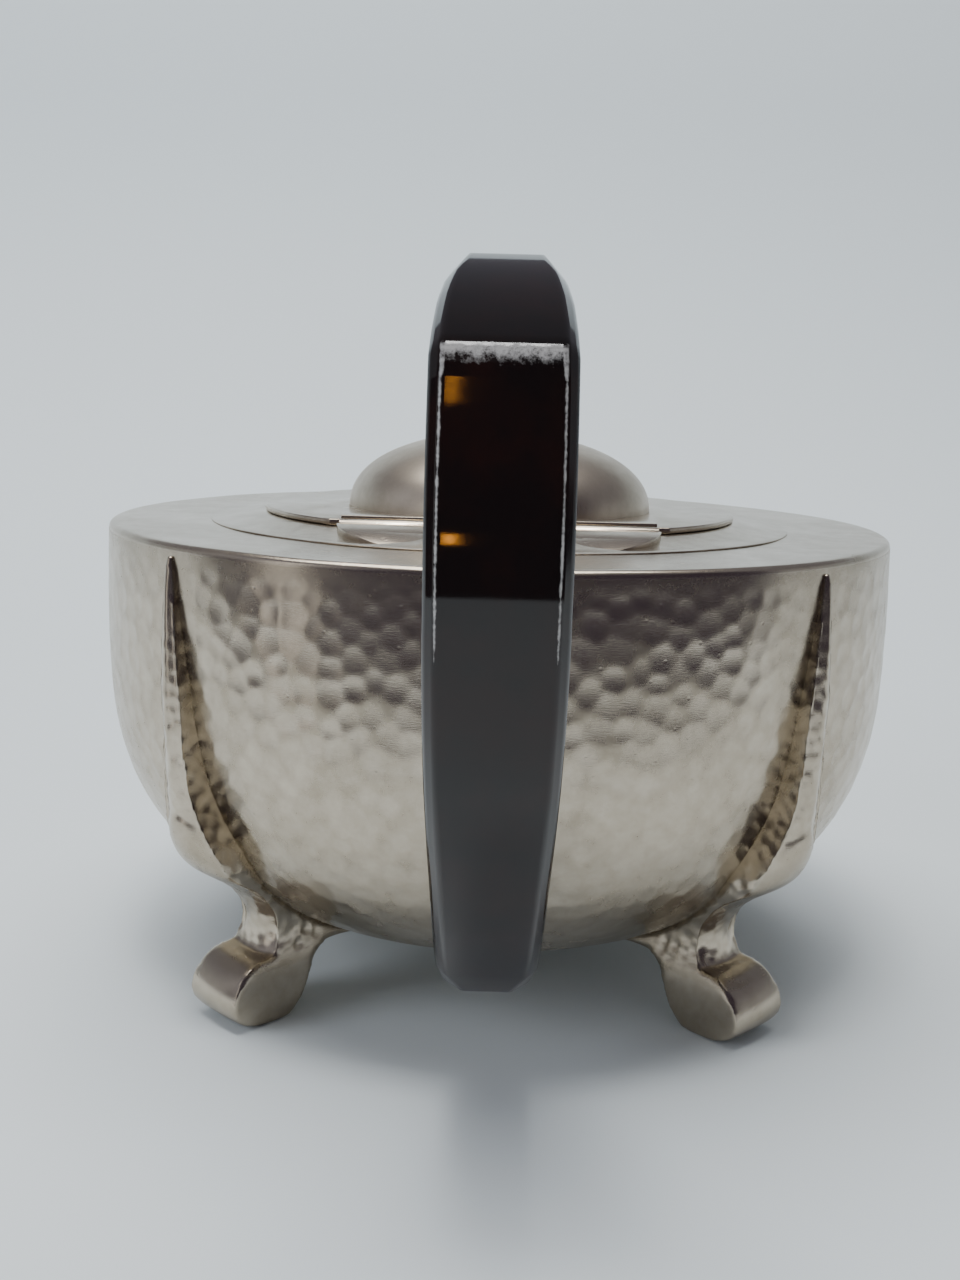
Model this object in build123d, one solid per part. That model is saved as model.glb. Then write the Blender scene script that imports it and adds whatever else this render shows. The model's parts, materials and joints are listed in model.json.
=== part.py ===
from build123d import *

import math
import os

# Covered sugar bowl in hammered pewter with two black handles, in millimetres.
# +Z is up and z = 0 is the table. The bowl's axis is X = Y = 0 and the handles lie along Y.
# The lid's hinge is on the -Y side, so -Y is the front.

# Bowl: four lobes that meet in creases, raised from sheet.
BODY_RADIUS = 66.0  # the axis to the middle of a lobe, where the bowl is widest
BODY_HEIGHT = 75.0  # the table to the top of the shoulder plate
BELLY_DROP = 19.0  # the shoulder down to the widest level
BOWL_UNDERSIDE = 7.5  # the table to the lowest point of the bowl's curve
PROFILE_POWER = 2.7  # 2 is an ellipse, and more makes a fuller bowl
RIM_DRAW_IN = 0.6  # how much narrower the rim is than the belly
CREASE_DEPTH = 3.6  # how far a crease sinks at its deepest
CREASE_DROP = 1.3  # 1 puts the deepest place half way down, and more puts it lower
BOWL_WALL = 1.3
BASE_ANGLE = 14.0  # where the bowl's curve turns into its flat base, on the profile
LOBES = 4

# Shoulder plate and the collar that carries the lid.
SHEET = 1.2  # the plate stock
RIM_ROUND = 0.9
NECK_BORE = 36.5  # radius of the opening
SLEEVE_WALL = 1.0
SLEEVE_DEPTH = 4.0  # how far the collar's sleeve hangs below the shoulder's top
SEAT_WIDTH = 4.5  # the flat round the opening that the lid rests on
COLLAR_FLARE = 8.0  # the seat's outer edge out to where the collar meets the shoulder
COLLAR_HEIGHT = 1.4
COLLAR_LIP = 0.2  # thickness left at the collar's outer edge
SOLDER_GAP = 0.05  # between pieces that are joined with solder

# Lid.
LID_SET_IN = 1.0  # the seat's outer edge in to the lid's edge
LID_SHEET = 0.9
LID_GAP = 0.15  # the closed lid stands this far above its seat
DOME_RADIUS = 25.8
DOME_HEIGHT = 12.6
DOME_WALL = 1.0
DOME_POWER = 2.15
DOME_LAP = 1.6  # the part of the plate that the dome is soldered on
BEZEL_CLEARANCE = 0.6  # radial, between the bezel and the neck
BEZEL_WALL = 1.0
BEZEL_DEPTH = 3.5
BEZEL_CUT_BACK = 4.0  # the bezel stops this far behind the hinge axis

# Hinge, along X across the front of the lid. Its apron slopes from the barrel to the collar's foot.
HINGE_HALF = 24.0
BARREL_RADIUS = 1.2
PIN_RADIUS = 0.55
PIN_CLEARANCE = 0.05  # radial, in the knuckle that turns
LID_KNUCKLE_HALF = 8.0
KNUCKLE_GAP = 0.2
BARREL_CLEARANCE = 0.25  # around a barrel, for what turns past it
APRON_FLARE = 6.5  # the seat's outer edge out to the front of the apron
APRON_HOLLOW = 2.0  # radius cleared in the apron's middle for the lid's knuckle as it opens
APRON_RISE = 0.75  # the seat to the apron's top, beside the barrel
WEB_THICKNESS = 0.6  # between the barrel and the apron
APRON_CROWN = 38.0  # radius of the apron's top across its slope
LEAF_DEPTH = 4.0  # the lid's leaf, from the barrel's clearance back onto the plate
LEAF_THICKNESS = 0.6

# Knob and its fixings.
KNOB_RADIUS = 8.0
KNOB_NECK = 3.8
KNOB_HEIGHT = 10.5
WASHER_RADIUS = 6.0
WASHER_THICKNESS = 1.0
STUD_RADIUS = 1.5
STUD_GRIP = 6.0  # how far the stud goes into the knob
STUD_CLEARANCE = 0.05
NUT_FLATS = 5.5
NUT_THICKNESS = 2.4
STUD_TAIL = 0.8  # the stud below the nut

# Handles. Their outline is set from the bowl's side and from the shoulder.
HANDLE_HALF_WIDTH = 7.35
ARM_HALF_WIDTH = 5.4  # the arm that rises from the upper socket
PEAK_HALF_WIDTH = 5.4
TIP_HALF_WIDTH = 3.6
ARM_THICKNESS = 10.0
GRIP_THICKNESS = 9.6
HANDLE_REACH = 43.6  # the bowl's side to the outermost point of the handle
PEAK_RISE = 37.4  # the shoulder to the top of the handle
CORNER_RISE = 26.6  # the shoulder to the corner where the grip turns down
PEAK_REACH = 16.0
CORNER_REACH = 40.8
ARM_INNER = 1.5  # the bowl's side to the near face of the arm
TIP_DROP = 58.0  # the shoulder down to the handle's lower tip
TENON_CLEARANCE = 0.1

# Sockets and pins that hold the handles.
UPPER_SOCKET_HALF = 6.2
UPPER_SOCKET_DEPTH = 15.0
UPPER_SOCKET_REACH = 11.5  # the bowl's side to the socket's outer face
SOCKET_WALL = 1.9
LOWER_SOCKET_HALF = 5.2
LOWER_SOCKET_TALL = 8.4
LOWER_SOCKET_LENGTH = 20.0  # before the bowl is cut from it
LOWER_TENON = 3.2
LOWER_JOINT_DROP = 44.8  # the shoulder down to the upper end of the handle's face at the lower socket
LOWER_JOINT_GAP = 6.7  # the bowl's side out to the same point
LOWER_LEAN = 35.0  # the lower socket's slope, rising towards the bowl
LOWER_FACE = 8.8  # the length of that face
HANDLE_PIN_RADIUS = 1.0
PIN_PROUD = 0.3

# Legs: one casting in each crease, with a spine, a calf, an ankle and a toe.
LEG_TURN = 45.0  # the first leg's angle from the X axis
SPINE_TOP_DROP = 1.6  # the shoulder's top down to the spine's tip
SPINE_PROUD = 1.0  # outside the lobes' own reach
CALF_PROUD = 2.6
ANKLE_SET_IN = 14.4  # the belly in to the front of the ankle
ANKLE_HALF_WIDTH = 4.8
CALF_HALF_WIDTH = 6.3
SPINE_TIP_HALF_WIDTH = 0.7
TOE_HEIGHT = 10.5
TOE_LENGTH = 7.8  # the ankle out to the front of the toe
FOOT_HALF_WIDTH = 6.0
PAD_LENGTH = 4.5  # the flat that stands on the table
PAD_SET_BACK = 5.3  # the front of the toe back to the pad
HEEL_LENGTH = 10.4  # the front of the toe back to the heel, at half height
SPUR_LENGTH = 10.5  # the heel in to the spur's tip, under the bowl

BELLY_HEIGHT = BODY_HEIGHT - BELLY_DROP
COLLAR_SEAT = NECK_BORE + SEAT_WIDTH
COLLAR_FOOT = COLLAR_SEAT + COLLAR_FLARE
LID_RADIUS = COLLAR_SEAT - LID_SET_IN
APRON_RADIUS = COLLAR_SEAT + APRON_FLARE
SEAT_HEIGHT = BODY_HEIGHT + COLLAR_HEIGHT
LID_UNDERSIDE = SEAT_HEIGHT + LID_GAP
LID_TOP = LID_UNDERSIDE + LID_SHEET
DOME_TOP = LID_TOP + DOME_HEIGHT
HINGE_Y = -math.sqrt(LID_RADIUS**2 - HINGE_HALF**2)
HINGE_Z = BODY_HEIGHT + BARREL_RADIUS + BARREL_CLEARANCE
TIP_HEIGHT = BODY_HEIGHT - TIP_DROP
ANKLE_REACH = BODY_RADIUS - ANKLE_SET_IN
FAR = 300.0  # longer than anything that it cuts


def profile_point(angle, inset=0.0):
    """Reach and height of the bowl's curve, from its base at 0 degrees to its belly at 90."""
    power = 2.0 / PROFILE_POWER
    reach = (BODY_RADIUS - inset) * math.sin(math.radians(angle)) ** power
    drop = (BELLY_HEIGHT - BOWL_UNDERSIDE - inset) * math.cos(math.radians(angle)) ** power
    return reach, BELLY_HEIGHT - drop


def lobe_reach(height):
    """The axis to the middle of a lobe at a height."""
    if height >= BELLY_HEIGHT:
        return BODY_RADIUS - RIM_DRAW_IN * ((height - BELLY_HEIGHT) / BELLY_DROP) ** 2
    share = min(1.0, (BELLY_HEIGHT - height) / (BELLY_HEIGHT - BOWL_UNDERSIDE))
    return BODY_RADIUS * (1.0 - share**PROFILE_POWER) ** (1.0 / PROFILE_POWER)


def crease_depth(height):
    """How far the crease sinks at a height: nothing at the rim, and most below the middle."""
    share = (BODY_HEIGHT - height) / (BODY_HEIGHT - BOWL_UNDERSIDE)
    return CREASE_DEPTH * math.sin(math.pi * min(1.0, max(0.0, share)) ** CREASE_DROP)


def crease_reach(height):
    """The axis to the bottom of a crease at a height."""
    return lobe_reach(height) - crease_depth(height)


def lobed_face(reach, sink, height):
    """A level face of four arcs: reach is at the middle of each lobe, and sink is the crease's depth."""
    step = 360.0 / LOBES
    edges = []
    for i in range(LOBES):
        ends = [Vector(reach - sink, 0).rotate(Axis.Z, step * (i + half)) for half in (-0.5, 0.5)]
        middle = Vector(reach, 0).rotate(Axis.Z, step * i)
        edges.append(ThreePointArc(ends[0], middle, ends[1]))
    return Pos(0, 0, height) * make_face(edges)


def bowl_solid(inset, top):
    """The bowl's outside at inset 0, or the space inside its wall, up to a level top."""
    faces = []
    for angle in (BASE_ANGLE, 22, 31, 41, 52, 64, 77, 90):
        reach, height = profile_point(angle, inset)
        faces.append(lobed_face(reach, crease_depth(height), height))
    for share in (0.5, 1.0):
        height = BELLY_HEIGHT + share * (top - BELLY_HEIGHT)
        faces.append(lobed_face(lobe_reach(height) - inset, crease_depth(height), height))
    return loft(faces)


def make_bowl(outside):
    wall_top = BODY_HEIGHT - SHEET
    inside = bowl_solid(BOWL_WALL, wall_top)
    above = Pos(0, 0, wall_top) * Cylinder(FAR, FAR, align=(Align.CENTER, Align.CENTER, Align.MIN))
    return outside - inside - above


def make_shoulder_plate():
    """Flat ring soldered on the bowl's rim, with its outer edge rounded."""
    radius = lobe_reach(BODY_HEIGHT)
    plate = Pos(0, 0, BODY_HEIGHT - SHEET / 2) * Cylinder(radius, SHEET)
    top_edge = plate.edges().filter_by(GeomType.CIRCLE).sort_by(Axis.Z)[-1]
    plate = fillet(top_edge, min(RIM_ROUND, 0.8 * SHEET))
    hole = NECK_BORE + SLEEVE_WALL + SOLDER_GAP
    return plate - Pos(0, 0, BODY_HEIGHT) * Cylinder(hole, FAR)


def collar_ring():
    """Raised ring with a hollow flare, and a sleeve that goes down through the shoulder."""
    base = BODY_HEIGHT
    sleeve = NECK_BORE + SLEEVE_WALL
    low = base - SLEEVE_DEPTH
    walls = Polyline(
        (COLLAR_SEAT, SEAT_HEIGHT),
        (NECK_BORE, SEAT_HEIGHT),
        (NECK_BORE, low),
        (sleeve, low),
        (sleeve, base),
        (COLLAR_FOOT, base),
        (COLLAR_FOOT, base + COLLAR_LIP),
    )
    rise = COLLAR_HEIGHT - COLLAR_LIP
    middle = (COLLAR_SEAT + 0.4 * COLLAR_FLARE, base + COLLAR_LIP + 0.36 * rise)
    flare = ThreePointArc((COLLAR_FOOT, base + COLLAR_LIP), middle, (COLLAR_SEAT, SEAT_HEIGHT))
    return revolve(Plane.XZ * make_face([*walls.edges(), flare]), Axis.Z)


def make_neck_collar():
    """The ring, with a channel across it that the hinge's barrel lies in."""
    half = HINGE_HALF + BARREL_CLEARANCE
    return collar_ring() - along_x(BARREL_RADIUS + BARREL_CLEARANCE, -half, half)


def behind(y):
    """Everything behind a level line along X."""
    return Pos(0, y, 0) * Box(FAR, FAR, FAR, align=(Align.CENTER, Align.MIN, Align.CENTER))


def in_front(y):
    """Everything in front of a level line along X."""
    return Pos(0, y, 0) * Box(FAR, FAR, FAR, align=(Align.CENTER, Align.MAX, Align.CENTER))


def make_lid_plate():
    """Disc that stops short of the hinge's barrel and is open under the dome."""
    plate = Pos(0, 0, LID_UNDERSIDE + LID_SHEET / 2) * Cylinder(LID_RADIUS, LID_SHEET)
    plate -= Pos(0, 0, LID_UNDERSIDE) * Cylinder(DOME_RADIUS - DOME_LAP, FAR)
    return plate & behind(HINGE_Y + BARREL_RADIUS + BARREL_CLEARANCE)


def dome_solid(inset):
    """The dome's outside at inset 0, or the space under its wall."""
    radius = DOME_RADIUS - inset
    height = DOME_HEIGHT - inset
    power = 2.0 / DOME_POWER
    points = []
    for angle in (0, 15, 30, 45, 60, 75, 90):
        reach = radius * max(0.0, math.cos(math.radians(angle))) ** power
        points.append((reach, LID_TOP + height * math.sin(math.radians(angle)) ** power))
    curve = Spline(*points, tangents=((0, 1), (-1, 0)))
    floor = Polyline(points[-1], (0, LID_TOP), points[0])
    return revolve(Plane.XZ * make_face([curve, *floor.edges()]), Axis.Z)


def make_lid_dome(outside):
    hole = Cylinder(STUD_RADIUS + STUD_CLEARANCE, FAR)
    return outside - dome_solid(DOME_WALL) - hole


def make_lid_bezel():
    """Ring under the lid that drops into the neck, cut back from the hinge."""
    outer = NECK_BORE - BEZEL_CLEARANCE
    middle = LID_UNDERSIDE - BEZEL_DEPTH / 2
    ring = Pos(0, 0, middle) * (Cylinder(outer, BEZEL_DEPTH) - Cylinder(outer - BEZEL_WALL, BEZEL_DEPTH))
    return ring & behind(HINGE_Y + BEZEL_CUT_BACK)


def along_x(radius, start, end, y=HINGE_Y, z=HINGE_Z):
    """A round bar along X from start to end."""
    return Pos((start + end) / 2, y, z) * Rot(0, 90, 0) * Cylinder(radius, end - start)


def make_hinge_apron():
    """The fixed half: an apron in front of the barrel, with the two outer knuckles."""
    edge = HINGE_Y - BARREL_RADIUS - BARREL_CLEARANCE
    top = SEAT_HEIGHT + APRON_RISE
    drop = top - BODY_HEIGHT - COLLAR_LIP
    run = APRON_RADIUS + edge
    slope = math.atan2(drop, run)
    chord = math.hypot(drop, run)
    lean = slope - math.asin(0.5 * chord / APRON_CROWN)
    centre_y = edge - APRON_CROWN * math.sin(lean)
    centre_z = top - APRON_CROWN * math.cos(lean)
    crown = along_x(APRON_CROWN, -APRON_RADIUS, APRON_RADIUS, centre_y, centre_z)
    plan = Pos(0, edge, 0) * Ellipse(HINGE_HALF + BARREL_CLEARANCE, run)
    apron = extrude(plan, top) & crown & in_front(edge)
    seat = SEAT_HEIGHT + SOLDER_GAP
    under = Cylinder(COLLAR_SEAT, seat, align=(Align.CENTER, Align.CENTER, Align.MIN))
    apron = apron - under - collar_ring()
    base = Box(FAR, FAR, FAR, align=(Align.CENTER, Align.CENTER, Align.MAX))
    inner = LID_KNUCKLE_HALF + KNUCKLE_GAP
    apron = apron - Pos(0, 0, BODY_HEIGHT + COLLAR_LIP) * base - along_x(APRON_HOLLOW, -inner, inner)
    for side in (-1, 1):
        ends = sorted((side * inner, side * HINGE_HALF))
        web = Pos(ends[0], HINGE_Y, HINGE_Z) * Box(
            ends[1] - ends[0], HINGE_Y - edge + 0.5, WEB_THICKNESS, align=(Align.MIN, Align.MAX, Align.MIN)
        )
        apron += along_x(BARREL_RADIUS, *ends) + web
    return apron - along_x(PIN_RADIUS, -FAR, FAR)


def make_lid_hinge():
    """The middle knuckle, with the leaf that is soldered on the lid's plate."""
    front = HINGE_Y + BARREL_RADIUS + BARREL_CLEARANCE
    leaf = Pos(0, front, LID_TOP) * Box(
        2 * HINGE_HALF, LEAF_DEPTH, LEAF_THICKNESS, align=(Align.CENTER, Align.MIN, Align.MIN)
    )
    leaf = leaf & Cylinder(LID_RADIUS, FAR)
    web = Pos(0, HINGE_Y, HINGE_Z) * Box(
        2 * LID_KNUCKLE_HALF, front - HINGE_Y + 0.5, BARREL_RADIUS, align=(Align.CENTER, Align.MIN, Align.MIN)
    )
    plate = Cylinder(LID_RADIUS, LID_TOP, align=(Align.CENTER, Align.CENTER, Align.MIN)) & behind(front)
    knuckle = along_x(BARREL_RADIUS, -LID_KNUCKLE_HALF, LID_KNUCKLE_HALF)
    return knuckle + leaf + (web - plate) - along_x(PIN_RADIUS + PIN_CLEARANCE, -FAR, FAR)


def make_knob_washer(dome):
    """Collar under the knob, hollowed to sit on the dome."""
    drop = 0.5 * WASHER_THICKNESS
    thick = WASHER_THICKNESS + drop
    washer = Pos(0, 0, DOME_TOP - drop + thick / 2) * Cylinder(WASHER_RADIUS, thick)
    return washer - dome - Cylinder(STUD_RADIUS + STUD_CLEARANCE, FAR)


def make_knob():
    """Turned button knob on a narrow neck, drilled from below for its stud."""
    base = DOME_TOP + WASHER_THICKNESS
    foot = KNOB_NECK + 0.9
    side = Spline(
        (foot, base),
        (KNOB_NECK, base + 0.2 * KNOB_HEIGHT),
        (0.8 * KNOB_RADIUS, base + 0.42 * KNOB_HEIGHT),
        (KNOB_RADIUS, base + 0.64 * KNOB_HEIGHT),
        (0.66 * KNOB_RADIUS, base + 0.93 * KNOB_HEIGHT),
        (0.0, base + KNOB_HEIGHT),
        tangents=((-0.5, 1), (-1, 0)),
    )
    floor = Polyline((0.0, base + KNOB_HEIGHT), (0.0, base), (foot, base))
    knob = revolve(Plane.XZ * make_face([side, *floor.edges()]), Axis.Z)
    drilling = Cylinder(STUD_RADIUS + STUD_CLEARANCE, 2 * (STUD_GRIP + STUD_TAIL))
    return knob - Pos(0, 0, base) * drilling


def make_knob_stud():
    low = DOME_TOP - DOME_WALL - NUT_THICKNESS - STUD_TAIL
    high = DOME_TOP + WASHER_THICKNESS + STUD_GRIP
    return Pos(0, 0, (low + high) / 2) * Cylinder(STUD_RADIUS, high - low)


def make_knob_nut(dome_shell):
    """Hexagon nut against the inside of the dome."""
    low = DOME_TOP - DOME_WALL - NUT_THICKNESS
    hexagon = RegularPolygon(NUT_FLATS / 2, 6, major_radius=False)
    nut = extrude(Pos(0, 0, low) * hexagon, NUT_THICKNESS)
    return nut - dome_shell - Cylinder(STUD_RADIUS + STUD_CLEARANCE, FAR)


# The handle's frame: its first direction is the reach outwards along +Y, its second is Z.
def beside(reach, rise):
    """A point of the handle from the bowl's side and the shoulder's top."""
    return BODY_RADIUS + reach, BODY_HEIGHT + rise


def lower_joint():
    """The upper end of the handle's face at the lower socket, as reach and height."""
    height = BODY_HEIGHT - LOWER_JOINT_DROP
    return lobe_reach(height) + LOWER_JOINT_GAP, height


def handle_outline():
    """Side view of one handle: arm, peak, sloping top, corner, grip and lower tip."""
    arm_foot = beside(ARM_INNER, 0.1)
    arm_back = beside(ARM_INNER + ARM_THICKNESS, 0.1)
    peak_in = beside(PEAK_REACH - 5.0, PEAK_RISE - 2.2)
    peak = beside(PEAK_REACH, PEAK_RISE)
    corner = beside(CORNER_REACH, CORNER_RISE)
    joint = lower_joint()
    tip = (joint[0] - 1.2, TIP_HEIGHT + 1.4)
    lean = math.radians(LOWER_LEAN)
    tip_in = (joint[0] - LOWER_FACE * math.sin(lean), joint[1] - LOWER_FACE * math.cos(lean))
    grip_in = GRIP_THICKNESS / math.sqrt(2)
    inner_corner = beside(CORNER_REACH - GRIP_THICKNESS + 1.0, CORNER_RISE - 6.6)
    arm_near = Spline(arm_foot, beside(3.2, 16.0), peak_in, tangents=((0, 1), (0.8, 1)))
    crown = ThreePointArc(peak_in, beside(PEAK_REACH - 3.0, PEAK_RISE - 0.35), peak)
    top = ThreePointArc(peak, beside((PEAK_REACH + CORNER_REACH) / 2, 33.4), corner)
    grip = Spline(
        corner,
        beside(HANDLE_REACH, 6.0),
        beside(34.6, -19.5),
        beside(21.8, -36.0),
        tip,
        tangents=((0.25, -1), (-1, -0.9)),
    )
    end = ThreePointArc(tip, (joint[0] - 5.4, TIP_HEIGHT + 1.8), tip_in)
    seat = Line(tip_in, joint)
    inside = Spline(
        joint,
        beside(21.8 - grip_in, -36.0 + grip_in),
        beside(34.6 - GRIP_THICKNESS * 0.86, -19.5 + GRIP_THICKNESS * 0.52),
        beside(HANDLE_REACH - GRIP_THICKNESS, 6.0),
        inner_corner,
        tangents=((1, 1), (-0.35, 1)),
    )
    under = Line(inner_corner, beside(20.5, 27.6))
    arm_far = Spline(beside(20.5, 27.6), beside(14.6, 17.0), arm_back, tangents=((-1, -0.25), (0, -1)))
    foot = Line(arm_back, arm_foot)
    return make_face([arm_near, crown, top, grip, end, seat, inside, under, arm_far, foot])


def handle_front():
    """Front view of one handle, as half widths up the height, narrower at the lower tip."""
    full = HANDLE_HALF_WIDTH
    top = BODY_HEIGHT + PEAK_RISE + 1.0
    widths = [
        (TIP_HALF_WIDTH, TIP_HEIGHT - 0.2),
        (0.78 * full, TIP_HEIGHT + 2.6),
        (0.92 * full, TIP_HEIGHT + 8.0),
        (0.95 * full, TIP_HEIGHT + 22.0),
        (full, BODY_HEIGHT - 12.0),
        (full, top),
    ]
    right = Spline(*widths[:-1], tangents=((1, 1), (0, 1)))
    straight = Line(widths[-2], widths[-1])
    left = [edge.mirror(Plane.YZ) for edge in (right, straight)]
    caps = [Line((-w, h), (w, h)) for w, h in (widths[0], widths[-1])]
    return make_face([right, straight, *left, *caps])


def handle_plan():
    """Top view of one handle, as half widths along the reach: the arm and the peak are narrow."""
    points = [
        (BODY_RADIUS - 10.0, ARM_HALF_WIDTH),
        (BODY_RADIUS + PEAK_REACH, PEAK_HALF_WIDTH),
        (BODY_RADIUS + PEAK_REACH + 6.0, 0.87 * HANDLE_HALF_WIDTH),
        (BODY_RADIUS + PEAK_REACH + 14.0, 0.96 * HANDLE_HALF_WIDTH),
        (BODY_RADIUS + CORNER_REACH, HANDLE_HALF_WIDTH),
    ]
    side = Spline(*points, tangents=((1, 0), (1, 0)))
    run = Line(points[-1], (BODY_RADIUS + HANDLE_REACH + 5.0, HANDLE_HALF_WIDTH))
    mirrored = [edge.mirror(Plane.XZ) for edge in (side, run)]
    start = Line((points[0][0], -ARM_HALF_WIDTH), points[0])
    far_end = BODY_RADIUS + HANDLE_REACH + 5.0
    end = Line((far_end, -HANDLE_HALF_WIDTH), (far_end, HANDLE_HALF_WIDTH))
    return make_face([side, run, *mirrored, start, end])


def lower_joint_plane():
    """At the lower socket's outer face, with its z pointing into the bowl and its x along X."""
    lean = math.radians(LOWER_LEAN)
    reach, height = lower_joint()
    origin = (0, reach - LOWER_FACE / 2 * math.sin(lean), height - LOWER_FACE / 2 * math.cos(lean))
    return Plane(origin, x_dir=(1, 0, 0), z_dir=(0, -math.cos(lean), math.sin(lean)))


def upper_tenon(clearance=0.0):
    """The handle's end inside the upper socket, or the pocket for it."""
    low = BODY_HEIGHT - UPPER_SOCKET_DEPTH + SOCKET_WALL
    reach = BODY_RADIUS + ARM_INNER + SOCKET_WALL - clearance
    far = BODY_RADIUS + UPPER_SOCKET_REACH - SOCKET_WALL + clearance
    half = UPPER_SOCKET_HALF - SOCKET_WALL + clearance
    height = BODY_HEIGHT + 0.2 - low
    block = Box(2 * half, far - reach, height, align=(Align.CENTER, Align.MIN, Align.MIN))
    return Pos(0, reach, low - clearance) * block


def lower_tenon(clearance=0.0):
    half = LOWER_SOCKET_HALF - SOCKET_WALL + clearance
    tall = LOWER_SOCKET_TALL - 2 * SOCKET_WALL + 2 * clearance
    length = LOWER_TENON + clearance
    block = Box(2 * half, tall, length + 1.0, align=(Align.CENTER, Align.CENTER, Align.MAX))
    return lower_joint_plane() * Pos(0, 0, length) * block


def make_handle():
    body = extrude(Plane.YZ * handle_outline(), 2 * HANDLE_HALF_WIDTH, both=True)
    body &= extrude(Plane.XZ * handle_front(), -FAR)
    above = BODY_HEIGHT - UPPER_SOCKET_DEPTH
    plan = Pos(0, 0, above) * Rot(0, 0, 90) * handle_plan()
    low = Pos(0, 0, above) * Box(FAR, FAR, FAR, align=(Align.CENTER, Align.CENTER, Align.MAX))
    body &= extrude(plan, FAR) + low
    body += upper_tenon()
    body += lower_tenon()
    return body - upper_pin() - lower_pin()


def upper_pin():
    """Rivet through the upper socket and the tenon in it."""
    y = BODY_RADIUS + (ARM_INNER + UPPER_SOCKET_REACH) / 2
    z = BODY_HEIGHT - UPPER_SOCKET_DEPTH / 2
    half = UPPER_SOCKET_HALF + PIN_PROUD
    return along_x(HANDLE_PIN_RADIUS, -half, half, y, z)


def lower_pin():
    """Rivet through the lower socket and the tenon in it."""
    half = LOWER_SOCKET_HALF + PIN_PROUD
    pin = Rot(0, 90, 0) * Cylinder(HANDLE_PIN_RADIUS, 2 * half)
    return lower_joint_plane() * Pos(0, 0, LOWER_TENON / 2) * pin


def make_upper_socket(bowl):
    """Cup on the bowl's side, open upwards, that holds the handle's arm."""
    low = BODY_HEIGHT - UPPER_SOCKET_DEPTH
    reach = UPPER_SOCKET_REACH + 10.0
    cup = Pos(0, BODY_RADIUS + UPPER_SOCKET_REACH, low) * Box(
        2 * UPPER_SOCKET_HALF, reach, UPPER_SOCKET_DEPTH, align=(Align.CENTER, Align.MAX, Align.MIN)
    )
    plate = Cylinder(lobe_reach(BODY_HEIGHT) + SOLDER_GAP, FAR)
    return cup - bowl - plate - upper_tenon(TENON_CLEARANCE) - upper_pin()


def make_lower_socket(bowl):
    """Cup on the bowl's lower side, open outwards, that holds the handle's lower end."""
    block = Box(
        2 * LOWER_SOCKET_HALF,
        LOWER_SOCKET_TALL,
        LOWER_SOCKET_LENGTH,
        align=(Align.CENTER, Align.CENTER, Align.MIN),
    )
    socket = lower_joint_plane() * Pos(0, 0, SOLDER_GAP) * block
    return socket - bowl - lower_tenon(TENON_CLEARANCE) - lower_pin()


def leg_side():
    """Side view of a leg as reach and height, from the spine's tip round the toe to the spur."""
    top = BODY_HEIGHT - SPINE_TOP_DROP
    spine = [(lobe_reach(share * top) + SPINE_PROUD, share * top) for share in (0.92, 0.75, 0.6)]
    calf = [(lobe_reach(share * top) + CALF_PROUD, share * top) for share in (0.41, 0.35)]
    toe_front = ANKLE_REACH + TOE_LENGTH
    ankle_height = 1.55 * TOE_HEIGHT
    crook = (ANKLE_REACH + 0.6, TOE_HEIGHT)
    front = Spline(
        (lobe_reach(top) + 0.5, top),
        *spine,
        *calf,
        (ANKLE_REACH + 4.2, ankle_height + 0.6 * (calf[-1][1] - ankle_height)),
        (ANKLE_REACH, ankle_height),
        crook,
        tangents=((0.3, -1), (0.3, -1)),
    )
    toe = Spline(
        crook,
        (toe_front - 3.6, TOE_HEIGHT - 0.4),
        (toe_front, 0.58 * TOE_HEIGHT),
        (toe_front - PAD_SET_BACK, 0.0),
        tangents=((1, 0.15), (-1, -0.2)),
    )
    pad_end = toe_front - PAD_SET_BACK - PAD_LENGTH
    pad = Line((toe_front - PAD_SET_BACK, 0.0), (pad_end, 0.0))
    heel_top = toe_front - HEEL_LENGTH - PAD_LENGTH
    spur_reach = heel_top - SPUR_LENGTH
    spur_tip = (spur_reach, profile_height(spur_reach) - 0.4)
    heel = Spline(
        (pad_end, 0.0),
        (heel_top + 0.6, 0.58 * TOE_HEIGHT),
        (heel_top - 1.4, 0.92 * TOE_HEIGHT),
        spur_tip,
        tangents=((-1, 0.35), (-1, -0.1)),
    )
    inside = Polyline(
        spur_tip,
        (spur_reach, spur_tip[1] + 6.0),
        (0.75 * BODY_RADIUS, 0.5 * BODY_HEIGHT),
        (crease_reach(top) - 3.0, top),
        (lobe_reach(top) + 0.5, top),
    )
    return make_face([front, toe, pad, heel, *inside.edges()])


def profile_height(reach):
    """Height of the bowl's underside at a reach from the axis."""
    share = (1.0 - (reach / BODY_RADIUS) ** PROFILE_POWER) ** (1.0 / PROFILE_POWER)
    return BELLY_HEIGHT - (BELLY_HEIGHT - BOWL_UNDERSIDE) * share


def leg_front():
    """Front view of a leg, as half widths up its height."""
    top = BODY_HEIGHT - SPINE_TOP_DROP
    points = [
        (0.9 * FOOT_HALF_WIDTH, 0.0),
        (FOOT_HALF_WIDTH, 0.45 * TOE_HEIGHT),
        (0.93 * FOOT_HALF_WIDTH, 0.95 * TOE_HEIGHT),
        (ANKLE_HALF_WIDTH, 1.45 * TOE_HEIGHT),
        (CALF_HALF_WIDTH, 0.37 * top),
        (0.6 * CALF_HALF_WIDTH, 0.5 * top),
        (0.38 * CALF_HALF_WIDTH, 0.72 * top),
        (SPINE_TIP_HALF_WIDTH, top),
    ]
    right = Spline(*points, tangents=((0.3, 1), (-0.08, 1)))
    ends = [Line((-w, h), (w, h)) for w, h in (points[0], points[-1])]
    return make_face([right, right.mirror(Plane.YZ), *ends])


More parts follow.
